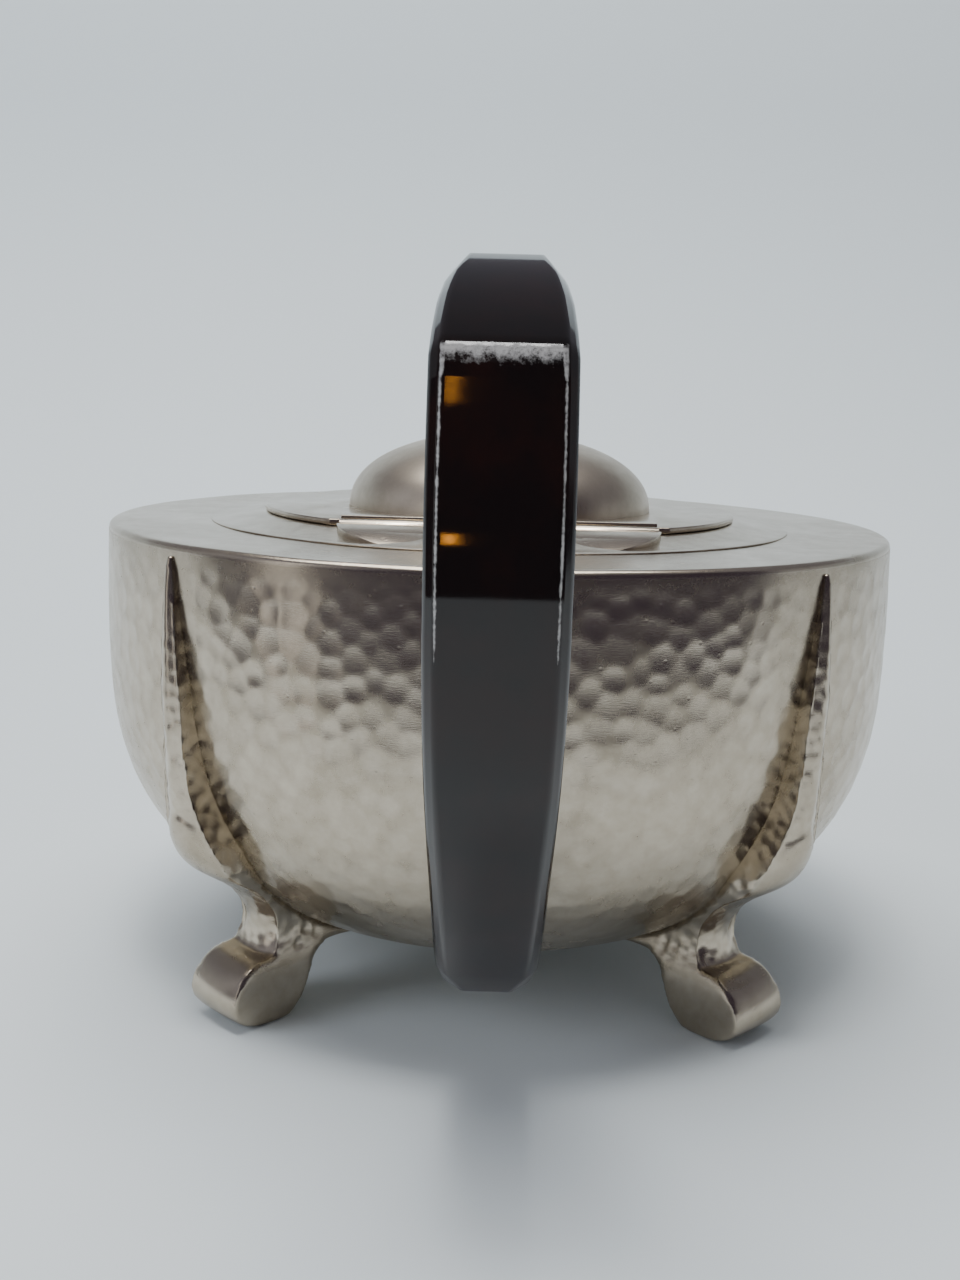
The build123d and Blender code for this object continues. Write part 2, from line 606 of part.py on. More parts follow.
def make_leg(bowl):
    """One leg along +Y, cut to the bowl's own surface, in the crease that faces it."""
    leg = extrude(Plane.YZ * leg_side(), 2 * CALF_HALF_WIDTH, both=True)
    leg &= extrude(Plane.XZ * leg_front(), -FAR)
    return leg - Rot(0, 0, LEG_TURN) * bowl


def all_nodes():
    outside = bowl_solid(0.0, BODY_HEIGHT)
    dome_outside = dome_solid(0.0)
    dome = make_lid_dome(dome_outside)
    handle = make_handle()
    upper = make_upper_socket(outside)
    lower = make_lower_socket(outside)
    leg = make_leg(outside)
    nodes = {
        "bowl": make_bowl(outside),
        "shoulder_plate": make_shoulder_plate(),
        "neck_collar": make_neck_collar(),
        "hinge_apron": make_hinge_apron(),
        "hinge_pin": along_x(PIN_RADIUS, -HINGE_HALF, HINGE_HALF),
        "lid_plate": make_lid_plate(),
        "lid_dome": dome,
        "lid_bezel": make_lid_bezel(),
        "lid_hinge": make_lid_hinge(),
        "knob": make_knob(),
        "knob_washer": make_knob_washer(dome_outside),
        "knob_stud": make_knob_stud(),
        "knob_nut": make_knob_nut(dome),
    }
    for name, turn in (("back", 0), ("front", 180)):
        nodes[f"handle_{name}"] = Rot(0, 0, turn) * handle
        nodes[f"upper_socket_{name}"] = Rot(0, 0, turn) * upper
        nodes[f"lower_socket_{name}"] = Rot(0, 0, turn) * lower
        nodes[f"upper_pin_{name}"] = Rot(0, 0, turn) * upper_pin()
        nodes[f"lower_pin_{name}"] = Rot(0, 0, turn) * lower_pin()
    for i, name in enumerate(("back_left", "front_left", "front_right", "back_right")):
        nodes[f"leg_{name}"] = Rot(0, 0, LEG_TURN + i * 360.0 / LOBES) * leg
    return nodes


os.makedirs("parts", exist_ok=True)
for node, shape in all_nodes().items():
    export_step(shape, f"parts/{node}.step")
    print(node, round(shape.volume, 1))
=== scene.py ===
import json
import math
import random

import bmesh
import bpy
from bpy.props import FloatProperty, IntProperty, PointerProperty, StringProperty
from mathutils import Matrix, Vector, kdtree, noise

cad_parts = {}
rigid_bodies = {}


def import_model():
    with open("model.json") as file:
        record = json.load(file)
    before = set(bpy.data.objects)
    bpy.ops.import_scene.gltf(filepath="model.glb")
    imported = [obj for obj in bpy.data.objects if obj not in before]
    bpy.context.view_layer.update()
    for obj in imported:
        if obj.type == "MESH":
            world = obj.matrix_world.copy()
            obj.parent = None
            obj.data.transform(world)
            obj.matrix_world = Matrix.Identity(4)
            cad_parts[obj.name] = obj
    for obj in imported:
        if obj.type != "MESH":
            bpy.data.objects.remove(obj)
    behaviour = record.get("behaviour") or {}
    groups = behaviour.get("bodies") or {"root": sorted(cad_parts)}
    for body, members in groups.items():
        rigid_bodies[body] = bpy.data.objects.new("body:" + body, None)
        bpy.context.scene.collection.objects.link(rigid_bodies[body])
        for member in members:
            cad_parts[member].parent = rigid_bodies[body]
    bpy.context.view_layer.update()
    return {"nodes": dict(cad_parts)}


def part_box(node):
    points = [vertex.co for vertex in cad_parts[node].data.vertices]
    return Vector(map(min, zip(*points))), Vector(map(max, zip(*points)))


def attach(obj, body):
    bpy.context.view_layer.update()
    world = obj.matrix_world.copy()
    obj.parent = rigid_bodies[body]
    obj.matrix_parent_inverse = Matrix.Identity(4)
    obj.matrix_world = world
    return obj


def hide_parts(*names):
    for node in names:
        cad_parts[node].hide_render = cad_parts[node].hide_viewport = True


bl_info = {
    "name": "Hammered pewter sugar bowl",
    "version": (1, 0, 0),
    "blender": (4, 5, 0),
    "location": "View3D > Sidebar > Sugar Bowl",
    "description": "Builds the visible pieces of a hammered pewter sugar bowl round its frame",
    "category": "Add Mesh",
}

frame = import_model()

MM = 0.001
WELD = 0.001 * MM  # points nearer than this are one point
UP = Vector((0, 0, 1))
ORIGIN = (0, 0, 0)
CORNERS = {"back_left": 135, "front_left": 225, "front_right": 315, "back_right": 45}


def top_of(node):
    """The height of a node's highest point."""
    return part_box(node)[1].z


def length(name, description, default):
    """A size property, given in millimetres and kept in metres."""
    return FloatProperty(name=name, description=description, default=default * MM, unit="LENGTH")


def colour(name, description, default):
    """A colour property, kept as an sRGB hex code."""
    return StringProperty(name=name, description=description, default=default)


class SugarBowlBody(bpy.types.PropertyGroup):
    """Sizes of the raised bowl and the plate that closes it."""

    radius: FloatProperty(
        name="Radius",
        description="Axis to the middle of a lobe",
        default=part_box("bowl")[1].x,
        unit="LENGTH",
    )
    height: FloatProperty(
        name="Height",
        description="Table to the shoulder",
        default=top_of("shoulder_plate"),
        unit="LENGTH",
    )
    belly_drop: length("Belly drop", "Shoulder down to the widest level", 19.0)
    underside: length("Underside", "Table to the lowest point of the bowl", 7.5)
    fullness: FloatProperty(
        name="Fullness", description="2 is an ellipse, more is fuller", default=2.7
    )
    rim_draw_in: length("Rim draw-in", "How much narrower the rim is than the belly", 0.6)
    crease_depth: length("Crease depth", "How far a crease sinks at its deepest", 3.6)
    crease_drop: FloatProperty(
        name="Crease drop", description="More puts the deepest place lower", default=1.3
    )
    wall: length("Wall", "Thickness of the raised sheet", 1.3)
    plate: length("Plate", "Thickness of the shoulder plate", 1.2)
    rim_round: length("Rim round", "Radius on the shoulder plate's edge", 1.0)
    step: length("Mesh step", "Distance between the points of the hammered face", 0.48)


class SugarBowlMarks(bpy.types.PropertyGroup):
    """Hammer marks."""

    pitch: length("Pitch", "Least distance between two hammer marks on the bowl", 2.95)
    reach: length("Reach", "Radius of a hammer mark on the bowl", 2.3)
    depth: length("Depth", "Depth of a hammer mark on the bowl", 0.15)
    leg_pitch: length("Leg pitch", "Least distance between two marks on a leg", 1.7)
    leg_reach: length("Leg reach", "Radius of a mark on a leg", 1.35)
    leg_depth: length("Leg depth", "Depth of a mark on a leg", 0.13)
    seed: IntProperty(name="Seed", description="Start of the scatter of the marks", default=11)


class SugarBowlHandle(bpy.types.PropertyGroup):
    """Finish of the two handles."""

    chamfer: length("Chamfer", "Width of the flat filed on the long edges", 1.3)
    wear: length("Wear", "Width of the pale worn line along the edges", 0.45)


class SugarBowlColours(bpy.types.PropertyGroup):
    """Colours, as sRGB hex codes."""

    pewter: colour("Pewter", "Polished pewter", "c4b9a8")
    patina: colour("Patina", "Pewter that polish doesn't reach", "978b77")
    plastic: colour("Plastic", "Black phenolic plastic", "15100e")
    plastic_brown: colour("Plastic bloom", "Brown bloom of old phenolic plastic", "21120e")
    worn: colour("Worn edge", "Filler showing at a worn edge", "b9b7b4")
    steel: colour("Steel", "Drawn steel", "a8a8a6")
    floor: colour("Floor", "Studio paper", "dbe3e5")


GROUPS = {
    "sugar_body": SugarBowlBody,
    "sugar_marks": SugarBowlMarks,
    "sugar_handle": SugarBowlHandle,
    "sugar_colours": SugarBowlColours,
}


def linear(code):
    """An sRGB hex code as a linear colour with alpha."""
    channels = [int(code[i : i + 2], 16) / 255 for i in (0, 2, 4)]
    return [c / 12.92 if c <= 0.04045 else ((c + 0.055) / 1.055) ** 2.4 for c in channels] + [1.0]


def add_node(tree, kind, inputs=None, **settings):
    """Adds a shader node with its settings, and sets or links its inputs."""
    node = tree.nodes.new(kind)
    for key, value in settings.items():
        setattr(node, key, value)
    for key, value in (inputs or {}).items():
        if isinstance(value, bpy.types.NodeSocket):
            tree.links.new(value, node.inputs[key])
        else:
            node.inputs[key].default_value = value
    return node


def new_material(name):
    """An empty material with its output node."""
    material = bpy.data.materials.new(name)
    material.use_nodes = True
    material.node_tree.nodes.clear()
    return material, material.node_tree, add_node(material.node_tree, "ShaderNodeOutputMaterial")


def pewter(name, polish, colours):
    """Pewter: soft tin alloy, greyer and warmer than silver, with a dull bloom where polish misses.

    polish is the roughness of a well rubbed place. The surface is never even: it has soft clouds
    of tarnish with stains in them, fine rubbing marks and small pits.
    """
    cloud, stain, rub, pit_gap = 14 * MM, 3.2 * MM, 0.9 * MM, 2.6 * MM
    rub_depth, pit_depth = 0.012 * MM, 0.02 * MM
    ridge_tarnish = 0.22  # how much more tarnish lies between hammer marks
    dulling = 0.12  # how much rougher a tarnished place is
    material, tree, output = new_material(name)
    place = add_node(tree, "ShaderNodeTexCoord").outputs["Object"]
    clouds = add_node(
        tree,
        "ShaderNodeTexNoise",
        {"Vector": place, "Scale": 1 / cloud, "Detail": 4.0, "Roughness": 0.6},
    )
    stains = add_node(
        tree,
        "ShaderNodeTexNoise",
        {"Vector": place, "Scale": 1 / stain, "Detail": 6.0, "Roughness": 0.7},
    )
    rubbing_place = add_node(
        tree, "ShaderNodeMapping", {"Vector": place, "Scale": (1.0, 1.0, 7.0)}
    )
    rubbing = add_node(
        tree,
        "ShaderNodeTexNoise",
        {"Vector": rubbing_place.outputs["Vector"], "Scale": 1 / rub, "Detail": 3.0},
    )
    pits = add_node(tree, "ShaderNodeTexVoronoi", {"Vector": place, "Scale": 1 / pit_gap})
    hollow = add_node(tree, "ShaderNodeAttribute", attribute_name="hollow")
    tarnish = add_node(
        tree,
        "ShaderNodeMath",
        {0: clouds.outputs["Fac"], 1: stains.outputs["Fac"]},
        operation="ADD",
    )
    tarnish = add_node(
        tree,
        "ShaderNodeMath",
        {0: hollow.outputs["Fac"], 1: ridge_tarnish, 2: tarnish.outputs["Value"]},
        operation="MULTIPLY_ADD",
    )
    share = add_node(
        tree,
        "ShaderNodeMapRange",
        {"Value": tarnish.outputs["Value"], "From Min": 0.75, "From Max": 1.75},
    )
    pit = add_node(
        tree,
        "ShaderNodeMapRange",
        {"Value": pits.outputs["Distance"], "From Min": 0.05, "From Max": 0.12},
    )
    tint = add_node(
        tree,
        "ShaderNodeMix",
        {
            "Factor": share.outputs["Result"],
            "A": linear(colours.pewter),
            "B": linear(colours.patina),
        },
        data_type="RGBA",
    )
    roughness = add_node(
        tree,
        "ShaderNodeMapRange",
        {
            "Value": tarnish.outputs["Value"],
            "From Min": 0.7,
            "From Max": 1.6,
            "To Min": polish,
            "To Max": polish + dulling,
        },
    )
    rubbed = add_node(
        tree,
        "ShaderNodeBump",
        {"Height": rubbing.outputs["Fac"], "Distance": rub_depth, "Strength": 0.8},
    )
    pitted = add_node(
        tree,
        "ShaderNodeBump",
        {
            "Height": pit.outputs["Result"],
            "Distance": pit_depth,
            "Strength": 0.6,
            "Normal": rubbed.outputs["Normal"],
        },
    )
    shader = add_node(
        tree,
        "ShaderNodeBsdfPrincipled",
        {
            "Base Color": tint.outputs["Result"],
            "Metallic": 1.0,
            "Roughness": roughness.outputs["Result"],
            "Normal": pitted.outputs["Normal"],
        },
    )
    tree.links.new(shader.outputs["BSDF"], output.inputs["Surface"])
    return material


def phenolic(colours):
    """Phenolic plastic, sawn from sheet, filed and buffed: near black, glossy, with a brown bloom.

    Its long edges have worn to the pale filler, which is matt and chipped. Buffing left faint
    scratches across it.
    """
    bloom_size, chip, scratch = 9 * MM, 1.1 * MM, 5 * MM
    scratch_depth = 0.004 * MM
    gloss_range, worn_roughness = (0.03, 0.08), 0.6
    material, tree, output = new_material("Black phenolic plastic, buffed")
    place = add_node(tree, "ShaderNodeTexCoord").outputs["Object"]
    bloom = add_node(
        tree,
        "ShaderNodeTexNoise",
        {"Vector": place, "Scale": 1 / bloom_size, "Detail": 5.0, "Roughness": 0.65},
    )
    bloomed = add_node(
        tree,
        "ShaderNodeMapRange",
        {"Value": bloom.outputs["Fac"], "From Min": 0.42, "From Max": 0.72},
    )
    ground = add_node(
        tree,
        "ShaderNodeMix",
        {
            "Factor": bloomed.outputs["Result"],
            "A": linear(colours.plastic),
            "B": linear(colours.plastic_brown),
        },
        data_type="RGBA",
    )
    wear = add_node(tree, "ShaderNodeAttribute", attribute_name="wear")
    chips = add_node(
        tree,
        "ShaderNodeTexNoise",
        {"Vector": place, "Scale": 1 / chip, "Detail": 5.0, "Roughness": 0.8},
    )
    edge = add_node(
        tree,
        "ShaderNodeMath",
        {0: wear.outputs["Fac"], 1: chips.outputs["Fac"]},
        operation="MULTIPLY",
    )
    worn = add_node(
        tree,
        "ShaderNodeMapRange",
        {"Value": edge.outputs["Value"], "From Min": 0.3, "From Max": 0.52},
    )
    tint = add_node(
        tree,
        "ShaderNodeMix",
        {
            "Factor": worn.outputs["Result"],
            "A": ground.outputs["Result"],
            "B": linear(colours.worn),
        },
        data_type="RGBA",
    )
    scratch_place = add_node(
        tree, "ShaderNodeMapping", {"Vector": place, "Scale": (0.6, 2.0, 6.0)}
    )
    scratches = add_node(
        tree,
        "ShaderNodeTexNoise",
        {
            "Vector": scratch_place.outputs["Vector"],
            "Scale": 1 / scratch,
            "Detail": 8.0,
            "Roughness": 0.75,
        },
    )
    gloss = add_node(
        tree,
        "ShaderNodeMapRange",
        {
            "Value": scratches.outputs["Fac"],
            "From Min": 0.3,
            "From Max": 0.75,
            "To Min": gloss_range[0],
            "To Max": gloss_range[1],
        },
    )
    dull = add_node(
        tree,
        "ShaderNodeMix",
        {"Factor": worn.outputs["Result"], "A": gloss.outputs["Result"], "B": worn_roughness},
        data_type="FLOAT",
    )
    relief = add_node(
        tree,
        "ShaderNodeBump",
        {"Height": scratches.outputs["Fac"], "Distance": scratch_depth, "Strength": 0.5},
    )
    shader = add_node(
        tree,
        "ShaderNodeBsdfPrincipled",
        {
            "Base Color": tint.outputs["Result"],
            "Roughness": dull.outputs["Result"],
            "IOR": 1.44,
            "Normal": relief.outputs["Normal"],
        },
    )
    tree.links.new(shader.outputs["BSDF"], output.inputs["Surface"])
    return material


def steel(colours):
    """Drawn steel, cut and filed: grey, with fine cloudy marks from the die and the file."""
    mark = 0.4 * MM
    material, tree, output = new_material("Drawn steel, cut and filed")
    place = add_node(tree, "ShaderNodeTexCoord").outputs["Object"]
    marks = add_node(
        tree, "ShaderNodeTexNoise", {"Vector": place, "Scale": 1 / mark, "Detail": 4.0}
    )
    roughness = add_node(
        tree,
        "ShaderNodeMapRange",
        {"Value": marks.outputs["Fac"], "To Min": 0.28, "To Max": 0.5},
    )
    shader = add_node(
        tree,
        "ShaderNodeBsdfPrincipled",
        {
            "Base Color": linear(colours.steel),
            "Metallic": 1.0,
            "Roughness": roughness.outputs["Result"],
        },
    )
    tree.links.new(shader.outputs["BSDF"], output.inputs["Surface"])
    return material


def studio_paper(colours):
    """Matt paper with a faint unevenness."""
    cloud_size = 60 * MM
    material, tree, output = new_material("Matt studio paper")
    place = add_node(tree, "ShaderNodeTexCoord").outputs["Object"]
    cloud = add_node(
        tree, "ShaderNodeTexNoise", {"Vector": place, "Scale": 1 / cloud_size, "Detail": 2.0}
    )
    roughness = add_node(
        tree, "ShaderNodeMapRange", {"Value": cloud.outputs["Fac"], "To Min": 0.8, "To Max": 0.95}
    )
    shader = add_node(
        tree,
        "ShaderNodeBsdfPrincipled",
        {"Base Color": linear(colours.floor), "Roughness": roughness.outputs["Result"]},
    )
    tree.links.new(shader.outputs["BSDF"], output.inputs["Surface"])
    return material


MADE = {}


def material(key):
    """The material of that key, made when it is first asked for."""
    colours = bpy.context.scene.sugar_colours
    makers = {
        "hammered": lambda: pewter("Raised pewter, hammered and rubbed", 0.2, colours),
        "spun": lambda: pewter("Spun pewter, buffed", 0.2, colours),
        "handled": lambda: pewter("Spun pewter, dulled by handling", 0.3, colours),
        "cast": lambda: pewter("Cast pewter, chased and rubbed", 0.19, colours),
        "plastic": lambda: phenolic(colours),
        "steel": lambda: steel(colours),
        "paper": lambda: studio_paper(colours),
    }
    if key not in MADE:
        MADE[key] = makers[key]()
    return MADE[key]


def finished(bm, name, finish, body, node, sharp=40.0):
    """Turns a bmesh into a piece that rides on a body and stands for a CAD node.

    sharp is the angle in degrees from which an edge is drawn sharp.
    """
    mesh = bpy.data.meshes.new(name)
    bm.to_mesh(mesh)
    bm.free()
    mesh.materials.append(material(finish))
    mesh.shade_smooth()
    mesh.set_sharp_from_angle(angle=math.radians(sharp))
    piece = bpy.data.objects.new(name, mesh)
    bpy.context.scene.collection.objects.link(piece)
    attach(piece, body)
    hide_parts(node)


def merged_copy(node):
    """A node's own mesh as a bmesh with joined faces."""
    bm = bmesh.new()
    bm.from_mesh(frame["nodes"][node].data)
    bmesh.ops.remove_doubles(bm, verts=bm.verts, dist=2 * WELD)
    flat = math.radians(0.3)
    bmesh.ops.dissolve_limit(bm, angle_limit=flat, verts=bm.verts, edges=bm.edges)
    return bm


def turn_about_z(bm, angle):
    """Turns a bmesh about Z."""
    bmesh.ops.rotate(bm, verts=bm.verts, cent=ORIGIN, matrix=Matrix.Rotation(angle, 3, "Z"))


def spin_about_z(bm, angle, steps, closed):
    """Sweeps all of a bmesh about Z."""
    bmesh.ops.spin(
        bm,
        geom=bm.verts[:] + bm.edges[:],
        cent=ORIGIN,
        axis=UP,
        angle=angle,
        steps=steps,
        use_merge=closed,
        use_duplicate=False,
    )


def softened(bm, width):
    """Rounds every edge that is sharper than 35 degrees."""
    sharp = math.radians(35)
    edges = [e for e in bm.edges if e.is_manifold and e.calc_face_angle() > sharp]
    bmesh.ops.bevel(
        bm,
        geom=edges,
        offset=width,
        offset_type="OFFSET",
        affect="EDGES",
        segments=2,
        profile=0.5,
        clamp_overlap=True,
        material=-1,
    )
    return bm


def profile_wire(points):
    """A bmesh with one chain of edges in the plane through X and Z."""
    bm = bmesh.new()
    verts = [bm.verts.new((x, 0, z)) for x, z in points]
    for a, b in zip(verts, verts[1:]):
        bm.edges.new((a, b))
    return bm


def turned(points, steps):
    """Spins a profile of (radius, height) points about Z into a closed shape."""
    bm = profile_wire(points + points[:1])
    bmesh.ops.remove_doubles(bm, verts=bm.verts, dist=0.1 * WELD)
    spin_about_z(bm, 2 * math.pi, steps, closed=True)
    bmesh.ops.remove_doubles(bm, verts=bm.verts, dist=WELD)
    bmesh.ops.recalc_face_normals(bm, faces=bm.faces)
    return bm


def arc(centre, radius, start, end, count):
    """Points (x, z) of an arc round a centre. The angles are in degrees."""
    angles = [math.radians(start + (end - start) * i / count) for i in range(count + 1)]
    return [(centre[0] + radius * math.cos(a), centre[1] + radius * math.sin(a)) for a in angles]


def spread(start, end, step):
    """Even numbers from start to end, about a step apart."""
    count = max(1, round(abs(end - start) / step))
    return [start + (end - start) * i / count for i in range(count + 1)]


def scattered(points, pitch, chance):
    """Some of the points, in random order, none nearer to another than the pitch."""
    order = list(points)
    chance.shuffle(order)
    cells = {}
    chosen = []
    for p in order:
        cell = tuple(int(math.floor(c / pitch)) for c in p)
        near = (
            q
            for dx in (-1, 0, 1)
            for dy in (-1, 0, 1)
            for dz in (-1, 0, 1)
            for q in cells.get((cell[0] + dx, cell[1] + dy, cell[2] + dz), ())
        )
        if all((p - q).length >= pitch for q in near):
            cells.setdefault(cell, []).append(p)
            chosen.append(p)
    return chosen


def hammer(bm, chosen, pitch, reach, depth, chance, strength):
    """Sinks overlapping round marks into the chosen points, and notes their ridges in 'hollow'."""
    nearest = 4  # no point lies in more marks than this
    thinness = 1.6  # more keeps the noted ridges narrower
    size_range, blow_range = (0.82, 1.15), (0.6, 1.2)
    hollow = bm.verts.layers.float.get("hollow") or bm.verts.layers.float.new("hollow")
    verts = [v for v in bm.verts if chosen(v)]
    centres = scattered([v.co.copy() for v in verts], pitch, chance)
    sizes = [chance.uniform(*size_range) for _ in centres]
    blows = [chance.uniform(*blow_range) for _ in centres]
    tree = kdtree.KDTree(len(centres))
    for i, centre in enumerate(centres):
        tree.insert(centre, i)
    tree.balance()
    bm.normal_update()
    moves = []
    for v in verts:
        sink = 0.0
        for _, i, distance in tree.find_n(v.co, nearest):
            wide = reach * sizes[i]
            sink = max(sink, blows[i] * (1 - (distance / wide) ** 2))
        moves.append(sink * strength(v.co))
    for v, sink in zip(verts, moves):
        v.co -= v.normal * depth * sink
        v[hollow] = max(v[hollow], 1.0 - min(1.0, thinness * sink))


def ramp(value, low, high):
    """0 at low, 1 at high and smooth between."""
    share = min(1.0, max(0.0, (value - low) / (high - low)))
    return share * share * (3 - 2 * share)


def crease_depth(body, height):
    """How far the crease sinks at a height: nothing at the rim and the lowest point."""
    share = min(1.0, max(0.0, (body.height - height) / (body.height - body.underside)))
    return body.crease_depth * math.sin(math.pi * share**body.crease_drop)


def bowl_profile(body, inset, step):
    """The bowl's curve from its axis up to the shoulder plate, as (radius, height) points."""
    curve = 105 * MM  # about its length below the belly
    belly = body.height - body.belly_drop
    power = 2 / body.fullness
    points = []
    for angle in spread(0.0, 90.0, 90 * step / curve):
        reach = (body.radius - inset) * math.sin(math.radians(angle)) ** power
        drop = (belly - body.underside - inset) * max(0.0, math.cos(math.radians(angle))) ** power
        points.append((reach, belly - drop))
    for height in spread(belly, body.height - body.plate, step)[1:]:
        draw = body.rim_draw_in * ((height - belly) / body.belly_drop) ** 2
        points.append((body.radius - inset - draw, height))
    return points


def evenly(points, step):
    """Points along a chain at even distances."""
    chain = [Vector(p) for p in points]
    total = sum((b - a).length for a, b in zip(chain, chain[1:]))
    count = max(2, round(total / step))
    placed, walked, i = [chain[0]], 0.0, 0
    for k in range(1, count):
        goal = total * k / count
        while walked + (chain[i + 1] - chain[i]).length < goal:
            walked += (chain[i + 1] - chain[i]).length
            i += 1
        share = (goal - walked) / (chain[i + 1] - chain[i]).length
        placed.append(chain[i].lerp(chain[i + 1], share))
    return [tuple(p) for p in placed + [chain[-1]]]


def lobed(body, reach, height, turn):
    """The reach of a lobe at an angle from its middle, on the arc from crease to crease."""
    bottom = reach - crease_depth(body, height)
    across = bottom * math.sqrt(0.5)
    if reach - across < 10 * WELD:
        return reach
    centre = (reach**2 - bottom**2) / (2 * (reach - across))
    aside = centre * math.sin(turn)
    return centre * math.cos(turn) + math.sqrt((reach - centre) ** 2 - aside**2)


def make_lobe(body, marks, turn, chance):
    """One quarter of the bowl, from crease to crease: a closed shell, hammered outside."""
    eighth = math.pi / 4
    outer = evenly(bowl_profile(body, 0.0, body.step), body.step)
    inner = evenly(bowl_profile(body, body.wall, body.step), 4 * body.step)
    bm = profile_wire(outer + inner[::-1] + outer[:1])
    bm.verts.ensure_lookup_table()
    outside = bm.verts.layers.int.new("outside")
    for v in bm.verts[: len(outer)]:
        v[outside] = 1
    bmesh.ops.remove_doubles(bm, verts=bm.verts, dist=0.1 * WELD)
    turn_about_z(bm, -eighth)
    spin_about_z(bm, 2 * eighth, round(body.radius * 2 * eighth / body.step), closed=False)
    for v in bm.verts:
        reach = math.hypot(v.co.x, v.co.y)
        if reach > 10 * WELD:
            v.co.xy *= lobed(body, reach, v.co.z, math.atan2(v.co.y, v.co.x)) / reach
    bmesh.ops.remove_doubles(bm, verts=bm.verts, dist=4 * WELD)
    bmesh.ops.holes_fill(bm, edges=[e for e in bm.edges if e.is_boundary], sides=0)
    bmesh.ops.recalc_face_normals(bm, faces=bm.faces)

    def blow(place):
        """How hard a place is struck: not in the creases or at the rim, and less near the foot."""
        wave, least = 16 * MM, 0.35
        radius = math.hypot(place.x, place.y)
        off_crease = radius * (eighth - abs(math.atan2(place.y, place.x)))
        at_rim = ramp(body.height - place.z, 1.6 * MM, 4.5 * MM)
        low = least + (1 - least) * ramp(place.z, 12 * MM, 30 * MM)
        worn = 0.75 + 0.5 * noise.noise(place / wave)
        return ramp(off_crease, 2.0 * MM, 5.5 * MM) * at_rim * low * worn

    def on_face(v):
        """Whether a point is outside and clear of the two ends."""
        inside_ends = abs(math.atan2(v.co.y, v.co.x)) < eighth - 0.0001
        return v[bm.verts.layers.int["outside"]] and inside_ends

    hammer(bm, on_face, marks.pitch, marks.reach, marks.depth, chance, blow)
    turn_about_z(bm, turn)
    return bm


def make_shoulder(body):
    """The flat ring on the bowl's rim: a rounded edge, and the ripple of planished sheet."""
    hole, grid = 37.6 * MM, 1.0 * MM
    ripple, wave = 0.09 * MM, 17 * MM
    low, high = body.height - body.plate, body.height
    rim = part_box("shoulder_plate")[1].x
    edge = arc((rim - body.rim_round, high - body.rim_round), body.rim_round, 0, 90, 8)
    across = [(r, high) for r in spread(rim - body.rim_round, hole, grid)[1:]]
    bm = turned([(hole, low), (rim, low)] + edge + across, 400)
    for v in bm.verts:
        if v.co.z > high - 0.4 * MM:
            v.co.z += ripple * (noise.noise(v.co / wave) - 0.2)
    return bm


def make_dome():
    """The lid's smooth dome, spun with a soft shoulder."""
    fullness, wall = 2.15, 1.0 * MM
    wobble, wave = 0.05 * MM, 11 * MM
    low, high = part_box("lid_dome")
    power = 2 / fullness

    def side(inset):
        """The dome's curve from its foot to its crown."""
        angles = [math.radians(a) for a in spread(0.0, 90.0, 3.0)]
        return [
            (
                (high.x - inset) * max(0.0, math.cos(a)) ** power,
                low.z + (high.z - low.z - inset) * math.sin(a) ** power,
            )
            for a in angles
        ]

    bm = turned(side(0.0) + side(wall)[::-1], 180)
    for v in bm.verts:
        v.co += v.co.normalized() * wobble * noise.noise(v.co / wave)
    return bm


def make_knob():
    """The turned button, from its foot to its crown."""
    low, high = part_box("knob")
    radius, tall = high.x, high.z - low.z
    outline = (
        (0.59, 0.0),
        (0.6, 0.03),
        (0.52, 0.1),
        (0.475, 0.2),
        (0.55, 0.3),
        (0.8, 0.42),
        (0.96, 0.53),
        (1.0, 0.64),
        (0.95, 0.76),
        (0.8, 0.87),
        (0.55, 0.95),
        (0.28, 0.99),
        (0.0, 1.0),
    )
    points = [(radius * across, low.z + tall * up) for across, up in outline]
    return turned(points + [(0.0, low.z)], 64)


def even_mesh(bm, voxel):
    """Remakes a closed bmesh with small even faces."""
    mesh = bpy.data.meshes.new("working")
    bm.to_mesh(mesh)
    carrier = bpy.data.objects.new("working", mesh)
    bpy.context.scene.collection.objects.link(carrier)
    remesh = carrier.modifiers.new("even", "REMESH")
    remesh.mode = "VOXEL"
    remesh.voxel_size = voxel
    graph = bpy.context.evaluated_depsgraph_get()
    even = bpy.data.meshes.new_from_object(carrier.evaluated_get(graph))
    bm.clear()
    bm.from_mesh(even)
    bpy.data.objects.remove(carrier)
    bpy.data.meshes.remove(mesh)
    bpy.data.meshes.remove(even)
    return bm


